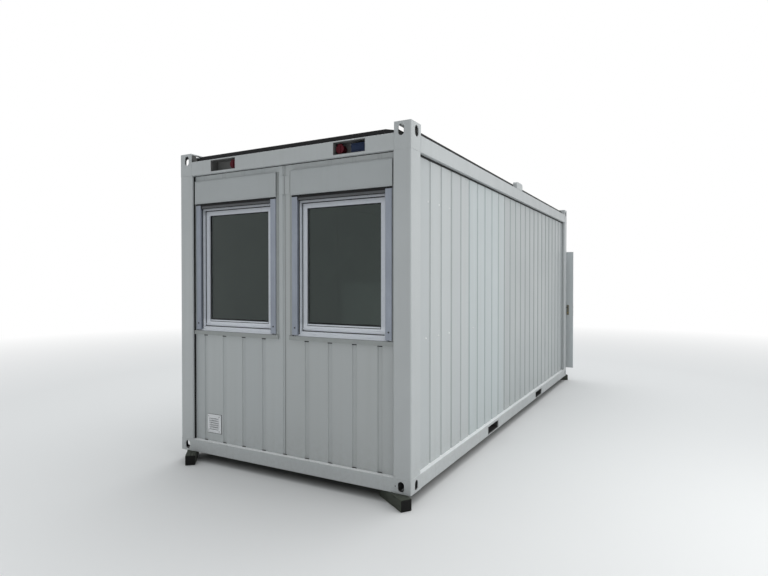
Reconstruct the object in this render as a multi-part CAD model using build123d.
from build123d import *
import os

# A steel framed site cabin on timbers: +X right side, -Y window end, +Y door end, +Z up.
# The origin is on the ground under the middle of the footprint. Sizes are in millimetres.

# Overall size of the cabin, and the timbers that hold it off the ground
cabin_length = 6058.0
cabin_width = 2438.0
cabin_height = 2800.0
timber_size = 90.0
timber_length = 360.0
right_timber_turn = 35.0
right_timber_inset_x = 149.0
right_timber_inset_y = 31.0
left_timber_turn = 48.0
left_timber_inset_x = 120.0
left_timber_inset_y = 20.0
timber_bevel = 3.0

# Corner posts and corner blocks
post_width = 152.0
post_depth = 171.0
post_wall = 4.0
post_bend = 12.0
block_wall = 8.0
top_block_width = 143.0
top_hole_width = 52.0
top_hole_height = 86.0
side_hole_width = 64.0
low_hole_width = 54.0
low_hole_height = 79.0
low_hole_rise = 53.0
hole_from_side = 84.0
hole_from_end = 97.0
top_hole_drop = 64.0
roof_side_gap = 35.0
lifting_slot_length = 110.0
lifting_slot_width = 55.0
earth_hole_radius = 6.0
earth_hole_inset = 19.0

# Rails, the fork pockets through them and the floor between them
bottom_rail_height = 115.0
top_rail_height = 129.0
top_rail_drop = 80.0
rail_wall = 4.0
rail_bend = 6.0
pocket_width = 352.0
pocket_height = 80.0
pocket_wall = 4.0
pocket_rise = 10.0
pocket_spacing = 2050.0
joist_width = 60.0
joist_height = 100.0
joist_wall = 3.0
joist_margin = 195.0
bay_joists = 3
under_sheet = 3.0
floor_board = 22.0

# Walls: grooved sandwich panels set back from the frame
wall_recess = 40.0
wall_thickness = 90.0
panel_width = 1165.0
first_seam = 1360.0
grooves_per_panel = 5
groove_width = 46.0
groove_floor = 32.0
groove_depth = 8.0
seam_gap = 0.8

# Ceiling, roof and what stands on the top rails
ceiling_rise = 17.0
ceiling_thickness = 12.0
beam_width = 60.0
beam_height = 80.0
beam_wall = 3.0
beam_count = 6
roof_setback = 60.0
roof_sheet = 2.0
rib_pitch = 110.0
rib_height = 32.0
rib_crest = 34.0
rib_slope = 14.0
seal_thickness = 9.0
seal_height = 50.0
seal_tip = 34.0
seal_clearance = 24.0
seal_taper = 75.0
lug_length = 260.0
lug_thickness = 48.0
lug_corner = 30.0
block_clearance = 6.0

# Windows in the front end, each with a roller shutter box above it
window_gap = 176.0
window_margin = 24.5
box_drop = 53.0
window_height = 1185.0
window_setback = 14.0
frame_side = 75.0
frame_foot = 40.0
frame_head = 64.0
sash_side = 46.0
sash_head = 45.0
sash_setback = 24.0
sash_depth = 50.0
sash_edge = 4.0
pane_thickness = 24.0
pane_setback = 17.0
pane_seat = 12.0
handle_width = 28.0
handle_height = 64.0
handle_plate = 8.0
handle_reach = 120.0
handle_bar = 16.0
handle_standoff = 30.0
handle_bevel = 3.0
shutter_box_height = 213.0
shutter_box_proud = 17.0
fascia_lap = 7.5
fascia_thickness = 3.0
shutter_slot = 22.0
shutter_slot_depth = 40.0
guide_width = 57.0
guide_proud = 13.0
guide_edge = 2.0
guide_foot_gap = 10.0
guide_slot = 14.0
guide_slot_depth = 30.0
guide_slot_setback = 5.0
end_bar_height = 44.0
end_bar_thickness = 10.0
trim_width = 27.5
trim_thickness = 4.0
sill_height = 35.0
sill_proud = 18.0
sill_plate = 3.0
cover_gap = 2.0
cover_thickness = 3.0
cover_drop = 40.0
cover_height = 155.0

# Vent grille low in the left of the front end
vent_size = 148.0
vent_offset = 825.0
vent_rise = 280.0
vent_proud = 10.0
vent_border = 15.0
vent_edge = 3.0
vent_slots = 6
vent_slot_height = 10.0
vent_slot_tilt = 35.0
duct_radius = 50.0

# Power recesses in the front top rail
recess_near = 525.0
recess_far = 823.0
recess_rise = 18.0
recess_height = 101.0
recess_depth = 90.0
recess_wall = 3.0
inlet_offset = 573.0
inlet_radius = 32.0
inlet_length = 54.0
lid_radius = 38.0
lid_thickness = 7.0
lid_bevel = 2.0
outlet_offset = 748.0
outlet_width = 136.0
outlet_height = 78.0
outlet_depth = 58.0
outlet_lid = 9.0
outlet_margin = 4.0

# Door in the back end, drawn closed and then swung open about its hinge pins
door_width = 875.0
door_height = 1984.0
door_thickness = 40.0
door_foot_gap = 6.0
door_setback = 19.0
door_gap = 5.0
door_edge = 3.0
door_open = 176.5
jamb_width = 40.0
jamb_proud = 6.0
stop_lap = 15.0
pin_standoff = 22.0
pin_radius = 5.0
pin_clearance = 0.08
pin_length = 38.0
knuckle_radius = 9.0
knuckle_length = 45.0
knuckle_gap = 1.0
hinge_wing = 6.0
hinge_foot = 30.0
hinge_foot_thickness = 5.0
hinge_margin = 200.0
hinge_count = 3
lock_inset = 85.0
lock_plate_width = 38.0
lock_plate_height = 171.0
lock_plate_rise = 904.0
lock_plate_corner = 9.5
lock_plate_thickness = 8.0
lever_standoff = 40.0
lever_radius = 9.0
lever_length = 120.0
lever_drop = 38.0
lever_bevel = 2.0
cylinder_radius = 8.5
cylinder_rise = 40.0
cylinder_proud = 3.0

# Places worked out from the sizes above
half_w = cabin_width / 2
half_l = cabin_length / 2
under = timber_size
crown = under + cabin_height
floor_line = under + bottom_rail_height
rail_top = crown - top_rail_drop
wall_top = rail_top - top_rail_height
wall_height = wall_top - floor_line
rail_width = wall_recess + wall_thickness
side_face = half_w - wall_recess
end_face = half_l - wall_recess
inner_x = half_w - rail_width
inner_y = half_l - rail_width
side_end = half_l - post_depth
end_end = half_w - post_width
groove_pitch = panel_width / grooves_per_panel
hole_cut = 4 * block_wall
pocket_near = pocket_spacing / 2 - pocket_width / 2 - pocket_wall
pocket_far = pocket_spacing / 2 + pocket_width / 2 + pocket_wall
window_width = end_end - window_margin - window_gap / 2
window_offset = (window_gap + window_width) / 2
box_top = wall_top - box_drop
window_z = (box_top - shutter_box_height - window_height, box_top - shutter_box_height)


def block(x, y, z):
    """A box between a low and a high value on each axis."""
    size = Box(x[1] - x[0], y[1] - y[0], z[1] - z[0])
    return Pos((x[0] + x[1]) / 2, (y[0] + y[1]) / 2, (z[0] + z[1]) / 2) * size


def span(middle, size):
    """The low and high value of a size about its middle."""
    return (middle - size / 2, middle + size / 2)


def mirror_x(shape):
    return mirror(shape, about=Plane.YZ)


def mirror_y(shape):
    return mirror(shape, about=Plane.XZ)


def slot_across_y(x, z, width, height, depth):
    """An upright round-ended cutter that runs through along Y from the middle of depth."""
    outline = SlotOverall(height, width, rotation=90)
    return Pos(x, 0, z) * Rot(90, 0, 0) * extrude(outline, depth / 2, both=True)


def slot_across_x(y, z, width, height, depth):
    """The same cutter, run through along X."""
    return Rot(0, 0, 90) * slot_across_y(y, z, width, height, depth)


def tube(outer, wall, run):
    """A hollow section along Z, centred on the origin, from its outer outline."""
    size = outer.bounding_box().size
    inner = Rectangle(size.X - 2 * wall, size.Y - 2 * wall)
    return extrude(outer - inner, run / 2, both=True)


def save(name, solids):
    """Write one node as a STEP file from a list of separate solids."""
    flat = [solid for shape in solids for solid in shape.solids()]
    export_step(Compound(children=flat), f"parts/{name}.step")


# Timbers under the four corners, turned across them
def timber(side, inset_x, inset_y, turn):
    """One front timber; both front ones point the same way across their corners."""
    beam = Box(timber_length, timber_size, timber_size)
    beam = chamfer(beam.edges(), timber_bevel)
    place = Pos(side * (half_w - inset_x), -half_l + inset_y, timber_size / 2)
    return place * Rot(0, 0, -turn) * beam


def support_timbers():
    right = timber(1, right_timber_inset_x, right_timber_inset_y, right_timber_turn)
    left = timber(-1, left_timber_inset_x, left_timber_inset_y, left_timber_turn)
    return [right, left, mirror_y(right), mirror_y(left)]


# Corner blocks and posts, drawn at the front right corner
def hollow_corner(width, z):
    shell = block((half_w - width, half_w), (-half_l, -half_l + post_depth), z)
    shell = fillet(shell.edges().filter_by(Axis.Z).group_by(Axis.X)[-1].group_by(Axis.Y)[0], block_wall)
    inside_x = (half_w - width + block_wall, half_w - block_wall)
    inside_y = (-half_l + block_wall, -half_l + post_depth - block_wall)
    return shell - block(inside_x, inside_y, (z[0] + block_wall, z[1] - block_wall))


def lifting_slot(z):
    outline = SlotOverall(lifting_slot_length, lifting_slot_width, rotation=90)
    place = Pos(half_w - hole_from_side, -half_l + hole_from_end, z)
    return place * extrude(outline, hole_cut / 2, both=True)


def bottom_block():
    shape = hollow_corner(post_width, (under, floor_line))
    z = under + low_hole_rise
    end_hole = slot_across_y(half_w - hole_from_side, z, low_hole_width, low_hole_height, hole_cut)
    side_hole = slot_across_x(-half_l + hole_from_end, z, low_hole_width, low_hole_height, hole_cut)
    return shape - Pos(0, -half_l, 0) * end_hole - Pos(half_w, 0, 0) * side_hole - lifting_slot(under)


def earth_hole():
    place = Pos(half_w - post_width + earth_hole_inset, -half_l, under + low_hole_rise)
    return place * Rot(90, 0, 0) * Cylinder(earth_hole_radius, hole_cut)


def top_block():
    shape = hollow_corner(top_block_width, (wall_top, crown))
    z = crown - top_hole_drop
    end_hole = slot_across_y(half_w - hole_from_side, z, top_hole_width, top_hole_height, hole_cut)
    side_hole = slot_across_x(-half_l + hole_from_end, z, side_hole_width, top_hole_height, hole_cut)
    shape = shape - Pos(0, -half_l, 0) * end_hole - Pos(half_w, 0, 0) * side_hole - lifting_slot(crown)
    open_x = (half_w - top_block_width, half_w - top_block_width + block_wall)
    open_y = (-half_l + roof_setback, -half_l + post_depth - block_wall)
    return shape - block(open_x, open_y, (crown - block_wall - roof_side_gap, crown - block_wall))


def corner_post():
    """A folded post, its outer corners bent and the wall the same all round."""
    outer = RectangleRounded(post_width, post_depth, post_bend)
    inner = RectangleRounded(post_width - 2 * post_wall, post_depth - 2 * post_wall, post_bend - post_wall)
    place = Pos(half_w - post_width / 2, -half_l + post_depth / 2, (floor_line + wall_top) / 2)
    return place * extrude(outer - inner, wall_height / 2, both=True)


# Rails, each drawn on the right or front side
def side_rail(height, z_low, end_room):
    run = cabin_length - 2 * end_room
    profile = tube(RectangleRounded(height, rail_width, rail_bend), rail_wall, run)
    return Pos(half_w - rail_width / 2, 0, z_low + height / 2) * Rot(0, 0, 90) * Rot(0, 90, 0) * profile


def end_rail(height, z_low, end_room):
    run = cabin_width - 2 * end_room
    profile = tube(RectangleRounded(height, rail_width, rail_bend), rail_wall, run)
    return Pos(0, -half_l + rail_width / 2, z_low + height / 2) * Rot(0, 90, 0) * profile


def pocket_room(side):
    """The outside of one fork pocket, across the whole cabin."""
    z = (under + pocket_rise - pocket_wall, under + pocket_rise + pocket_height + pocket_wall)
    y = span(side * pocket_spacing / 2, pocket_width + 2 * pocket_wall)
    return block((-half_w, half_w), y, z)


def fork_pocket(side):
    z = (under + pocket_rise, under + pocket_rise + pocket_height)
    return pocket_room(side) - block((-half_w, half_w), span(side * pocket_spacing / 2, pocket_width), z)


def recess_room():
    """The outside of the right-hand power recess."""
    z = (wall_top + recess_rise, wall_top + recess_rise + recess_height)
    return block((recess_near, recess_far), (-half_l, -half_l + recess_depth), z)


def power_recess():
    z = (wall_top + recess_rise + recess_wall, wall_top + recess_rise + recess_height - recess_wall)
    x = (recess_near + recess_wall, recess_far - recess_wall)
    return recess_room() - block(x, (-half_l, -half_l + recess_depth - recess_wall), z)


def power_inlet():
    back = -half_l + recess_depth - recess_wall
    z = wall_top + recess_rise + recess_height / 2
    body = Cylinder(inlet_radius, inlet_length)
    lid = Cylinder(lid_radius, lid_thickness)
    lid = chamfer(lid.edges().filter_by(GeomType.CIRCLE), lid_bevel)
    lid = Pos(0, 0, (inlet_length + lid_thickness) / 2) * lid
    return Pos(inlet_offset, back - inlet_length / 2, z) * Rot(90, 0, 0) * (body + lid)


def power_outlet():
    back = -half_l + recess_depth - recess_wall
    z_low = wall_top + recess_rise + recess_wall
    x = span(outlet_offset, outlet_width)
    body = block(x, (back - outlet_depth, back), (z_low, z_low + outlet_height))
    lid_x = span(outlet_offset, outlet_width - 2 * outlet_margin)
    lid_z = (z_low + outlet_margin, z_low + outlet_height - outlet_margin)
    return body + block(lid_x, (back - outlet_depth - outlet_lid, back - outlet_depth), lid_z)


# Floor
def floor_joists():
    """One joist on the middle, one beside each pocket and the rest even towards the ends."""
    near = pocket_near - joist_margin
    start = pocket_far + joist_margin
    step = (inner_y - joist_margin - start) / (bay_joists - 1)
    half = [near] + [start + step * count for count in range(bay_joists)]
    profile = tube(Rectangle(joist_height, joist_width), joist_wall, 2 * inner_x)
    places = [-y for y in half] + [0] + half
    return [Pos(0, y, floor_line - joist_height / 2) * Rot(0, 90, 0) * profile for y in places]


def underfloor_sheets():
    """Sheets under the joists, between the fork pockets."""
    top = floor_line - joist_height
    runs = ((-inner_y, -pocket_far), (-pocket_near, pocket_near), (pocket_far, inner_y))
    corners = corner_rooms(post_width, (under, floor_line))
    return [block((-inner_x, inner_x), y, (top - under_sheet, top)) - corners for y in runs]


def corner_rooms(width, z):
    """The four corner posts or blocks as plain boxes, to cut from floors and ceilings."""
    right = block((half_w - width, half_w), (-half_l, -half_l + post_depth), z)
    return [right, mirror_x(right), mirror_y(right), mirror_y(mirror_x(right))]


def floor_panel():
    z = (floor_line, floor_line + floor_board)
    return block((-inner_x, inner_x), (-inner_y, inner_y), z) - corner_rooms(post_width, z)


# Wall panels, drawn in plan: u runs along the wall and v goes in from its outer face
def groove(u):
    half_top = groove_width / 2
    half_floor = groove_floor / 2
    depths = ((-half_top, 0), (-half_floor, groove_depth), (half_floor, groove_depth), (half_top, 0))
    return [(u + du, v) for du, v in depths]


def panel_outline(low, high, low_seam, high_seam):
    """One panel between two ends, with a groove at each pitch and half of one at each seam."""
    start = [(low, 0)]
    if low_seam:
        low = low + seam_gap / 2
        start = [(low, groove_depth), (low + groove_floor / 2, groove_depth), (low + groove_width / 2, 0)]
    finish = [(high, 0)]
    if high_seam:
        high = high - seam_gap / 2
        foot = high - groove_floor / 2
        finish = [(high - groove_width / 2, 0), (foot, groove_depth), (high, groove_depth)]
    return low, high, start, finish


def wall_panel(low, high, seams, lines, place, z):
    """Extrude one panel. Lines are the groove places and place turns (u, v) into (x, y)."""
    low, high, start, finish = panel_outline(low, high, low in seams, high in seams)
    middle = [u for u in lines if low + groove_width < u < high - groove_width]
    plan = start + [point for u in middle for point in groove(u)] + finish
    plan = plan + [(high, wall_thickness), (low, wall_thickness)]
    face = make_face(Polyline([place(u, v) for u, v in plan], close=True))
    return Pos(0, 0, z[0]) * extrude(face, z[1] - z[0], dir=(0, 0, 1))


def on_right(u, v):
    return (side_face - v, u)


def on_left(u, v):
    return (-side_face + v, u)


def on_front(u, v):
    return (u, -end_face + v)


def on_back(u, v):
    return (u, end_face - v)


wall_z = (floor_line, wall_top)
end_lines = [step * groove_pitch for step in range(-grooves_per_panel, grooves_per_panel + 1)]


def side_wall(place):
    """The panels of one long side, edge to edge between the posts."""
    seams = []
    seam = first_seam - half_l
    while seam < side_end:
        seams.append(seam)
        seam = seam + panel_width
    steps = range(-grooves_per_panel, len(seams) * grooves_per_panel + grooves_per_panel)
    lines = [seams[0] + step * groove_pitch for step in steps]
    edges = [-side_end] + seams + [side_end]
    lines = [u for u in lines if min(abs(u - edge) for edge in edges) > groove_width]
    return [wall_panel(a, b, seams, lines, place, wall_z) for a, b in zip(edges, edges[1:])]


def window_room(side):
    """The opening for one window and its shutter box, with its sill plate."""
    x = span(side * window_offset, window_width)
    return block(x, (-half_l, -inner_y), (window_z[0] - sill_plate, box_top))


def front_wall(side):
    """One grooved panel with a plain strip along its head, above the shutter box."""
    low, high = sorted((0, side * end_end))
    grooved = wall_panel(low, high, (0,), end_lines, on_front, (floor_line, box_top))
    plain = wall_panel(low, high, (0,), (), on_front, (box_top, wall_top))
    panel = grooved + plain - window_room(side)
    duct = Rot(90, 0, 0) * Cylinder(duct_radius, 2 * wall_thickness)
    return panel - Pos(-vent_offset, -end_face, under + vent_rise) * duct


door_hole_half = door_width / 2 + door_gap + jamb_width
door_top = floor_line + door_foot_gap + door_height
door_hole_top = door_top + door_gap + jamb_width


def back_wall(side):
    low, high = sorted((side * door_hole_half, side * end_end))
    return wall_panel(low, high, (), end_lines, on_back, wall_z)


def wall_over_door():
    z = (door_hole_top, wall_top)
    return wall_panel(-door_hole_half, door_hole_half, (), end_lines, on_back, z)


# Ceiling and roof
def ceiling_panel():
    low = wall_top + ceiling_rise
    z = (low, low + ceiling_thickness)
    return block((-inner_x, inner_x), (-inner_y, inner_y), z) - corner_rooms(top_block_width, z)


def roof_beams():
    z = wall_top + ceiling_rise + ceiling_thickness + beam_height / 2
    profile = tube(Rectangle(beam_height, beam_width), beam_wall, 2 * inner_x)
    pitch = 2 * inner_y / (beam_count + 1)
    places = [pitch * (count + 1) - inner_y for count in range(beam_count)]
    return [Pos(0, y, z) * Rot(0, 90, 0) * profile for y in places]


def rib(y):
    """The underside of one roof rib, from valley to valley."""
    half_crest = rib_crest / 2
    half_foot = half_crest + rib_slope
    rise = [(y - half_foot, 0), (y - half_crest, rib_height)]
    return rise + [(y + half_crest, rib_height), (y + half_foot, 0)]


def ribbed_sheet():
    """The sheet between the corner blocks, with its ribs across the cabin."""
    half_run = half_l - post_depth - block_clearance
    count = int(2 * half_run / rib_pitch)
    ribs = [(step - (count - 1) / 2) * rib_pitch for step in range(count)]
    under_line = [(-half_run, 0)] + [point for y in ribs for point in rib(y)] + [(half_run, 0)]
    over_line = [(y, z + roof_sheet) for y, z in reversed(under_line)]
    face = make_face(Plane.YZ * Polyline(under_line + over_line, close=True))
    half_reach = half_w - roof_setback
    return Pos(-half_reach, 0, rail_top) * extrude(face, 2 * half_reach, dir=(1, 0, 0))


def end_sheet():
    """The flat strip that closes the roof between the two front corner blocks."""
    half_reach = half_w - top_block_width - block_clearance
    y = (-half_l + roof_setback, -half_l + post_depth + block_clearance)
    return block((-half_reach, half_reach), y, (rail_top, rail_top + roof_sheet))


def end_seal():
    """The dark strip that closes the roof over the front rail, with its ends tapered down."""
    foot = half_w - top_block_width - seal_clearance
    head = foot - seal_taper
    outline = [(-foot, 0), (foot, 0), (foot, seal_tip), (head, seal_height)]
    outline = outline + [(-head, seal_height), (-foot, seal_tip)]
    face = make_face(Plane.XZ * Polyline(outline, close=True))
    place = Pos(0, -half_l + roof_setback, rail_top)
    return place * extrude(face, seal_thickness, dir=(0, -1, 0))


def side_seal():
    x = (half_w - roof_setback, half_w - roof_setback + seal_thickness)
    run = half_l - post_depth - block_clearance
    return block(x, (-run, run), (rail_top, rail_top + seal_height))


def lifting_lug():
    x = (half_w - lug_thickness, half_w)
    lug = block(x, span(0, lug_length), (rail_top, crown))
    return fillet(lug.edges().filter_by(Axis.X).group_by(Axis.Z)[-1], lug_corner)


# Windows
def window_block(side, half_width, y, z):
    middle = side * window_offset
    return block((middle - half_width, middle + half_width), y, z)


sash_z = (window_z[0] + frame_foot, window_z[1] - frame_head)
pane_z = (sash_z[0] + sash_side, sash_z[1] - sash_head)
sash_half = window_width / 2 - frame_side
pane_half = sash_half - sash_side
frame_y = (-end_face + window_setback, -inner_y)
sash_y = (frame_y[0] + sash_setback, frame_y[0] + sash_setback + sash_depth)
pane_y = (sash_y[0] + pane_setback, sash_y[0] + pane_setback + pane_thickness)
guide_front = -end_face - guide_proud
guide_slot_y = (guide_front + guide_slot_setback, guide_front + guide_slot_setback + guide_slot)


def window_frame(side):
    outer = window_block(side, window_width / 2, frame_y, window_z)
    return outer - window_block(side, sash_half, frame_y, sash_z)


def window_pane(side):
    z = (pane_z[0] - pane_seat, pane_z[1] + pane_seat)
    return window_block(side, pane_half + pane_seat, pane_y, z)


def window_sash(side):
    outer = window_block(side, sash_half, sash_y, sash_z)
    outer = chamfer(outer.faces().sort_by(Axis.Y)[0].edges(), sash_edge)
    return outer - window_block(side, pane_half, sash_y, pane_z) - window_pane(side)


def window_handle(side):
    """The handle inside the room, on the sash edge nearest the middle of the wall."""
    middle = side * (window_offset - sash_half + sash_side / 2)
    z_mid = (sash_z[0] + sash_z[1]) / 2
    face_y = sash_y[1]
    x = span(middle, handle_width)
    plate = block(x, (face_y, face_y + handle_plate), span(z_mid, handle_height))
    neck = block(span(middle, handle_bar), (face_y, face_y + handle_standoff), span(z_mid, handle_bar))
    bar_y = (face_y + handle_standoff, face_y + handle_standoff + handle_bar)
    bar = block(span(middle, handle_bar), bar_y, (z_mid - handle_reach, z_mid + handle_bar / 2))
    return plate + neck + chamfer(bar.edges(), handle_bevel)


def shutter_box(side):
    """The closed box over one window, with the slot that the shutter comes down through."""
    z = (window_z[1], box_top)
    body_y = (-end_face - shutter_box_proud, -inner_y)
    body = window_block(side, window_width / 2, body_y, z)
    slot_y = span(sum(guide_slot_y) / 2, shutter_slot)
    body = body - window_block(side, sash_half, slot_y, (z[0], z[0] + shutter_slot_depth))
    fascia_y = (body_y[0] - fascia_thickness, body_y[0])
    return body + window_block(side, window_width / 2 + fascia_lap, fascia_y, z)


def shutter_guide(side, edge):
    """One upright guide: a channel with its slot towards the glass."""
    outer_x = side * window_offset + edge * window_width / 2
    x = sorted((outer_x, outer_x - edge * guide_width))
    z = (window_z[0] + guide_foot_gap, window_z[1])
    guide = block(x, (guide_front, frame_y[0]), z)
    mouth = outer_x - edge * guide_width
    slot_x = sorted((mouth, mouth + edge * guide_slot_depth))
    guide = fillet(guide.edges().filter_by(Axis.Z).group_by(Axis.Y)[0], guide_edge)
    return guide - block(slot_x, guide_slot_y, z)


def shutter_end_bar(side):
    """The bottom bar of the rolled-up shutter, its ends in the guide slots."""
    half = window_width / 2 - guide_width + guide_slot_depth
    y = (guide_slot_y[1] - end_bar_thickness, guide_slot_y[1])
    return window_block(side, half, y, (window_z[1] - end_bar_height, window_z[1]))


def window_trim():
    """Flat strips beside the guides of the right window and the sill below, in one piece."""
    low = window_z[0] - sill_height
    near = (window_gap / 2 - trim_width, window_gap / 2)
    far = (end_end - window_margin, end_end - cover_gap)
    strips = [block(x, (-end_face - trim_thickness, -end_face), (low, box_top)) for x in (near, far)]
    lip = block((near[0], far[1]), (-end_face - sill_proud, -end_face), (low, window_z[0]))
    plate_y = (-end_face, -end_face + window_setback + sash_depth)
    plate = block((near[1], far[0]), plate_y, (window_z[0] - sill_plate, window_z[0]))
    return Part() + [lip, plate] + strips


def joint_cover():
    """The plate over the panel joint, between the two shutter boxes."""
    half = window_gap / 2 - trim_width - cover_gap
    z = (box_top - cover_drop - cover_height, box_top - cover_drop)
    return block((-half, half), (-end_face - cover_thickness, -end_face), z)


# Vent grille with sloping slots, drawn for the left of the front end
def vent_grille():
    x = span(-vent_offset, vent_size)
    z_mid = under + vent_rise
    plate = block(x, (-end_face - vent_proud, -end_face), span(z_mid, vent_size))
    plate = chamfer(plate.faces().sort_by(Axis.Y)[0].edges(), vent_edge)
    inner = vent_size - 2 * vent_border
    pitch = inner / vent_slots
    cutter = Rot(vent_slot_tilt, 0, 0) * Box(inner, 4 * vent_proud, vent_slot_height)
    for step in range(vent_slots):
        z = z_mid + (step - (vent_slots - 1) / 2) * pitch
        plate = plate - Pos(-vent_offset, -end_face - vent_proud / 2, z) * cutter
    return plate


# Door, frame and hinges
pin_x = door_width / 2 + door_gap / 2
leaf_out = half_l - door_setback
pin_y = leaf_out + pin_standoff
leaf_y = (leaf_out - door_thickness, leaf_out)
leaf_z = (door_top - door_height, door_top)
hinge_run = door_height - 2 * hinge_margin - 2 * knuckle_length - knuckle_gap
hinge_pitch = hinge_run / (hinge_count - 1)
hinge_feet = [leaf_z[0] + hinge_margin + hinge_pitch * step for step in range(hinge_count)]
swing = Pos(pin_x, pin_y, 0) * Rot(0, 0, -door_open) * Pos(-pin_x, -pin_y, 0)


def door_frame():
    """Jambs and head with the stop that the closed leaf lies against."""
    jamb_y = (inner_y, end_face + jamb_proud)
    outer = block((-door_hole_half, door_hole_half), jamb_y, (floor_line, door_hole_top))
    leaf_half = door_width / 2 + door_gap
    leaf_room = block((-leaf_half, leaf_half), jamb_y, (floor_line, door_top + door_gap))
    stop_y = (inner_y, leaf_y[0] - door_gap)
    stop = block((-leaf_half, leaf_half), stop_y, (floor_line, door_top + door_gap))
    way_half = door_width / 2 - stop_lap
    way = block((-way_half, way_half), jamb_y, (floor_line, door_top - stop_lap))
    return outer - leaf_room + (stop - way)


def door_leaf():
    leaf = block(span(0, door_width), leaf_y, leaf_z)
    return fillet(leaf.edges().filter_by(Axis.Z), door_edge)


def on_pin(z, radius, length):
    """A cylinder on the line of the hinge pins, from z up."""
    return Pos(pin_x, pin_y, z + length / 2) * Cylinder(radius, length)


def frame_hinge(z):
    """The lower half of a lift-off hinge: wing, foot, knuckle and pin, on the jamb."""
    body = on_pin(z, knuckle_radius, knuckle_length)
    wing_x = (pin_x + door_gap / 2, pin_x + door_gap / 2 + hinge_wing)
    foot_x = (wing_x[1], wing_x[1] + hinge_foot)
    face = end_face + jamb_proud
    wing = block(wing_x, (face, pin_y), (z, z + knuckle_length))
    foot = block(foot_x, (face, face + hinge_foot_thickness), (z, z + knuckle_length))
    return body + wing + foot + on_pin(z + knuckle_length, pin_radius, pin_length)


def leaf_hinge(low):
    """The upper half, on the leaf, with the bore that drops over the pin."""
    z = low + knuckle_length + knuckle_gap
    body = on_pin(z, knuckle_radius, knuckle_length)
    bore = on_pin(z, pin_radius + pin_clearance, knuckle_length)
    wing_x = (door_width / 2 - hinge_wing, door_width / 2)
    wing = block(wing_x, (leaf_out, pin_y), (z, z + knuckle_length))
    foot_x = (wing_x[0] - hinge_foot, wing_x[0])
    foot = block(foot_x, (leaf_out, leaf_out + hinge_foot_thickness), (z, z + knuckle_length))
    return body + wing + foot - bore


lock_x = -door_width / 2 + lock_inset
lock_z = (leaf_z[0] + lock_plate_rise, leaf_z[0] + lock_plate_rise + lock_plate_height)


def lock_plate(face, out):
    """A handle plate on one face of the leaf; out is +1 outside and -1 inside."""
    y = sorted((face, face + out * lock_plate_thickness))
    plate = block(span(lock_x, lock_plate_width), y, lock_z)
    return fillet(plate.edges().filter_by(Axis.Y), lock_plate_corner)


def door_lever(face, out):
    """A round neck that stands out of the plate, with the grip out of its side."""
    z = lock_z[1] - lever_drop
    neck_run = lever_standoff + lever_radius - lock_plate_thickness
    middle = face + out * (lock_plate_thickness + neck_run / 2)
    neck = Pos(lock_x, middle, z) * Rot(90, 0, 0) * Cylinder(lever_radius, neck_run)
    grip = Rot(0, 90, 0) * Cylinder(lever_radius, lever_length)
    grip = chamfer(grip.edges().filter_by(GeomType.CIRCLE), lever_bevel)
    return neck + Pos(lock_x + lever_length / 2, face + out * lever_standoff, z) * grip


def lock_cylinder(face, out):
    start = face + out * lock_plate_thickness
    middle = start + out * cylinder_proud / 2
    place = Pos(lock_x, middle, lock_z[0] + cylinder_rise) * Rot(90, 0, 0)
    return place * Cylinder(cylinder_radius, cylinder_proud)


def both_faces(make):
    return [swing * make(leaf_y[1], 1), swing * make(leaf_y[0], -1)]


sides = (-1, 1)
os.makedirs("parts", exist_ok=True)

save("support_timbers", support_timbers())
low_block = bottom_block()
save("bottom_blocks_front", [low_block - earth_hole(), mirror_x(low_block)])
save("bottom_blocks_back", [mirror_y(low_block), mirror_x(mirror_y(low_block))])
high_block = top_block()
save("top_blocks_front", [high_block, mirror_x(high_block)])
save("top_blocks_back", [mirror_y(high_block), mirror_x(mirror_y(high_block))])
post = corner_post()
save("corner_posts", [post, mirror_x(post), mirror_y(post), mirror_y(mirror_x(post))])

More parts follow.
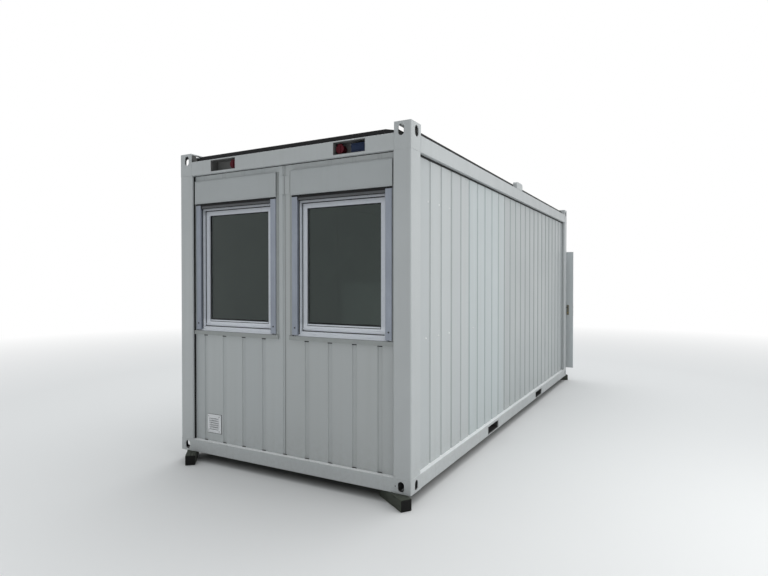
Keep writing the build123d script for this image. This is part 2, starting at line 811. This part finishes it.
low_side_rail = side_rail(bottom_rail_height, under, post_depth) - [pocket_room(side) for side in sides]
save("bottom_rail_right", [low_side_rail])
save("bottom_rail_left", [mirror_x(low_side_rail)])
low_end_rail = end_rail(bottom_rail_height, under, post_width)
save("bottom_rails_ends", [low_end_rail, mirror_y(low_end_rail)])
high_side_rail = side_rail(top_rail_height, wall_top, post_depth)
save("top_rails_sides", [high_side_rail, mirror_x(high_side_rail)])
high_end_rail = end_rail(top_rail_height, wall_top, top_block_width)
save("top_rail_front", [high_end_rail - [recess_room(), mirror_x(recess_room())]])
save("top_rail_back", [mirror_y(high_end_rail)])
save("fork_pockets", [fork_pocket(side) for side in sides])
save("floor_joists", floor_joists())
save("underfloor_sheets", underfloor_sheets())
save("floor_board", [floor_panel()])

save("right_wall_panels", side_wall(on_right))
save("left_wall_panels", side_wall(on_left))
save("front_wall_left", [front_wall(-1)])
save("front_wall_right", [front_wall(1)])
save("back_wall_left", [back_wall(-1)])
save("back_wall_right", [back_wall(1)])
save("back_wall_over_door", [wall_over_door()])

save("ceiling_panel", [ceiling_panel()])
save("roof_beams", roof_beams())
save("roof_sheet", [ribbed_sheet(), end_sheet(), mirror_y(end_sheet())])
front_seal = end_seal()
side_strip = side_seal()
save("roof_edge_seals", [front_seal, mirror_y(front_seal), side_strip, mirror_x(side_strip)])
lug = lifting_lug()
save("lifting_lugs", [lug, mirror_x(lug)])

save("window_frames", [window_frame(side) for side in sides])
save("window_sashes", [window_sash(side) for side in sides])
save("window_panes", [window_pane(side) for side in sides])
save("window_handles", [window_handle(side) for side in sides])
save("window_trims", [window_trim(), mirror_x(window_trim())])
save("shutter_boxes", [shutter_box(side) for side in sides])
save("shutter_guides", [shutter_guide(side, edge) for side in sides for edge in sides])
save("shutter_end_bars", [shutter_end_bar(side) for side in sides])
save("joint_cover", [joint_cover()])
save("vent_grille", [vent_grille()])

recess = power_recess()
save("power_recesses", [recess, mirror_x(recess)])
inlet = power_inlet()
save("power_inlets", [inlet, mirror_x(inlet)])
save("power_outlet", [power_outlet()])

save("door_frame", [door_frame()])
save("frame_hinges", [frame_hinge(z) for z in hinge_feet])
save("door_leaf", [swing * door_leaf()])
save("leaf_hinges", [swing * leaf_hinge(z) for z in hinge_feet])
save("lock_plates", both_faces(lock_plate))
save("door_levers", both_faces(door_lever))
save("lock_cylinders", both_faces(lock_cylinder))
